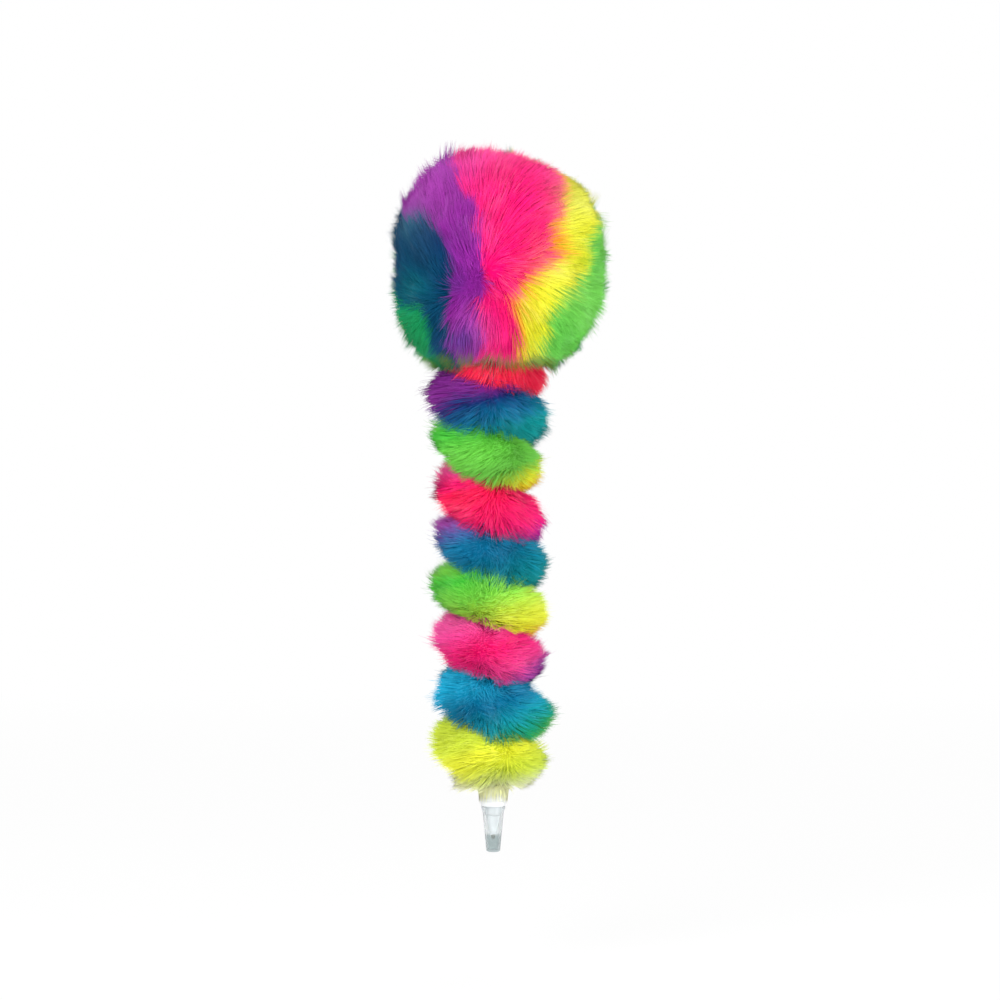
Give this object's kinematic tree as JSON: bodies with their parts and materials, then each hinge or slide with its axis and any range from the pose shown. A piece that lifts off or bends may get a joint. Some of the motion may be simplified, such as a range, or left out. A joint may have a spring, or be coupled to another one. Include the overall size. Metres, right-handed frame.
{
  "type": "plush pompom ballpoint pen",
  "caption": "Ballpoint pen dressed like a small duster, with a rainbow plush pompom, a wound plush strip round the barrel and a translucent nib cap.",
  "frame": {"origin": "centre of the flat closed end of the nib cap", "axes": "+Z along the barrel, up to the pompom; -Y is the front, which shows the pompom's seam left of centre; +X is the right seen from the front"},
  "size_m": [0.0748, 0.0748, 0.2569],
  "materials": {
    "white_plastic": "gloss",
    "cap_plastic": "satin",
    "point_metal": "polished",
    "refill_plastic": "satin",
    "ink": "gloss",
    "ink_grease": "gloss",
    "knit_backing": "matte",
    "plush_pile": "matte",
    "hot_glue": "satin",
    "fibre_filling": "matte",
    "sewing_thread": "matte"
  },
  "bodies": {
    "pen_body": {"barrel": "white_plastic", "barrel_end_plug": "white_plastic", "wrap_backing": "knit_backing", "wrap_pile": "plush_pile", "lower_glue": "hot_glue", "upper_glue": "hot_glue", "neck_glue": "hot_glue", "pompom_filling": "fibre_filling", "pompom_cover_left": "knit_backing", "pompom_cover_right": "knit_backing", "pompom_pile_left": "plush_pile", "pompom_pile_right": "plush_pile", "seam_thread": "sewing_thread", "gather_thread": "sewing_thread"},
    "refill": {"refill_tube": "refill_plastic", "refill_point": "point_metal", "writing_ball": "point_metal", "ink_column": "ink", "ink_follower": "ink_grease"},
    "nose": {"nose_cone": "white_plastic"},
    "cap": {"tip_cap": "cap_plastic"}
  },
  "joints": [
    {"name": "refill_travel", "type": "slide", "parent": "pen_body", "child": "refill", "axis": [0, 0, -1], "range_m": [0, 0.005]},
    {"name": "nose_unscrew", "type": "hinge", "parent": "refill", "child": "nose", "pos_m": [0, 0, 0.0189], "axis": [0, 0, -1], "range_deg": [0, 1800]},
    {"name": "cap_pull", "type": "slide", "parent": "nose", "child": "cap", "axis": [0, 0, -1], "range_m": [0, 0.03]}
  ],
  "couplings": [
    {"joint": "nose_unscrew", "follows": "refill_travel", "rad_per_m": 6283.2}
  ]
}
